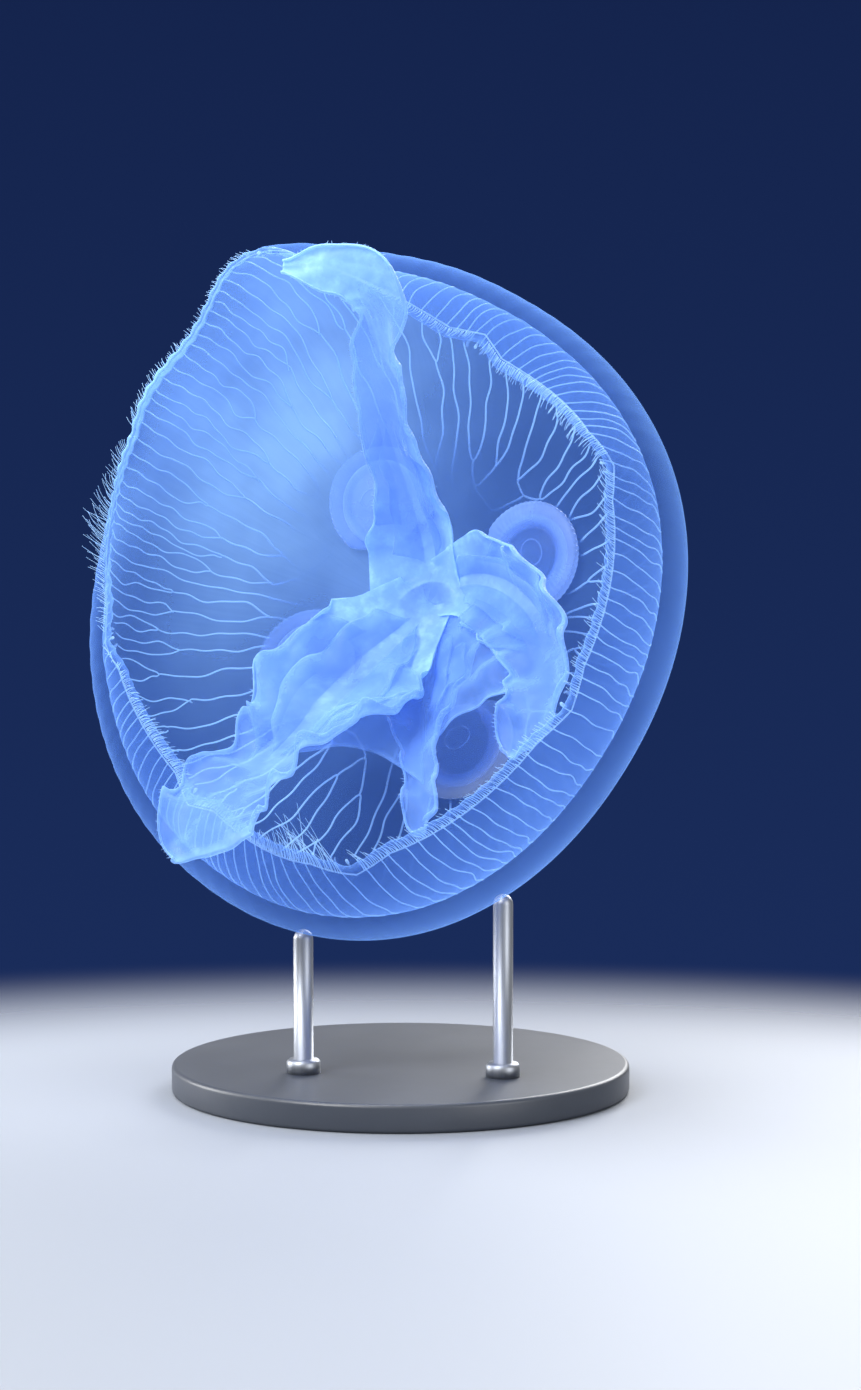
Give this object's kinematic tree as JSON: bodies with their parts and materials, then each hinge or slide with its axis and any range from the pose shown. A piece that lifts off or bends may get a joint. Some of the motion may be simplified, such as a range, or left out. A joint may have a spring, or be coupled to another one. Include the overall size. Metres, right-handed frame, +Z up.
{
  "type": "moon jellyfish model on display stand",
  "caption": "Still, life-size moon jellyfish in mid-stroke, seen into the open bell, on a plain round stand with short rods.",
  "frame": {"origin": "centre of the underside of the stand's round base", "axes": "+Z up; the open side of the bell faces the front, -Y, and its crown is turned away, to the right (+X) and a little down"},
  "size_m": [0.2139, 0.1922, 0.3024],
  "materials": {
    "bell_flesh": "wet translucent jelly, clear blue with pale radial canals",
    "margin_flesh": "fine milky tentacles and sense organs",
    "gonad_flesh": "frilled, pale lilac with beige edges",
    "arm_flesh": "wet milky blue, frilled edges",
    "stand_paint": "satin dark paint",
    "stand_steel": "brushed steel rod"
  },
  "bodies": {
    "root": {"bell_crown": "bell_flesh", "bell_lobe_1": "bell_flesh", "bell_lobe_2": "bell_flesh", "bell_lobe_3": "bell_flesh", "bell_lobe_4": "bell_flesh", "bell_lobe_5": "bell_flesh", "bell_lobe_6": "bell_flesh", "bell_lobe_7": "bell_flesh", "bell_lobe_8": "bell_flesh", "rhopalium_1": "margin_flesh", "rhopalium_2": "margin_flesh", "rhopalium_3": "margin_flesh", "rhopalium_4": "margin_flesh", "rhopalium_5": "margin_flesh", "rhopalium_6": "margin_flesh", "rhopalium_7": "margin_flesh", "rhopalium_8": "margin_flesh", "tentacle_fringe_1": "margin_flesh", "tentacle_fringe_2": "margin_flesh", "tentacle_fringe_3": "margin_flesh", "tentacle_fringe_4": "margin_flesh", "tentacle_fringe_5": "margin_flesh", "tentacle_fringe_6": "margin_flesh", "tentacle_fringe_7": "margin_flesh", "tentacle_fringe_8": "margin_flesh", "gonad_1": "gonad_flesh", "gonad_2": "gonad_flesh", "gonad_3": "gonad_flesh", "gonad_4": "gonad_flesh", "manubrium": "arm_flesh", "oral_arm_1_base": "arm_flesh", "oral_arm_1_middle": "arm_flesh", "oral_arm_1_tip": "arm_flesh", "oral_arm_2_base": "arm_flesh", "oral_arm_2_middle": "arm_flesh", "oral_arm_2_tip": "arm_flesh", "oral_arm_3_base": "arm_flesh", "oral_arm_3_middle": "arm_flesh", "oral_arm_3_tip": "arm_flesh", "oral_arm_4_base": "arm_flesh", "oral_arm_4_middle": "arm_flesh", "oral_arm_4_tip": "arm_flesh", "stand_base": "stand_paint", "stand_rod_left": "stand_steel", "stand_rod_right": "stand_steel"}
  },
  "joints": []
}
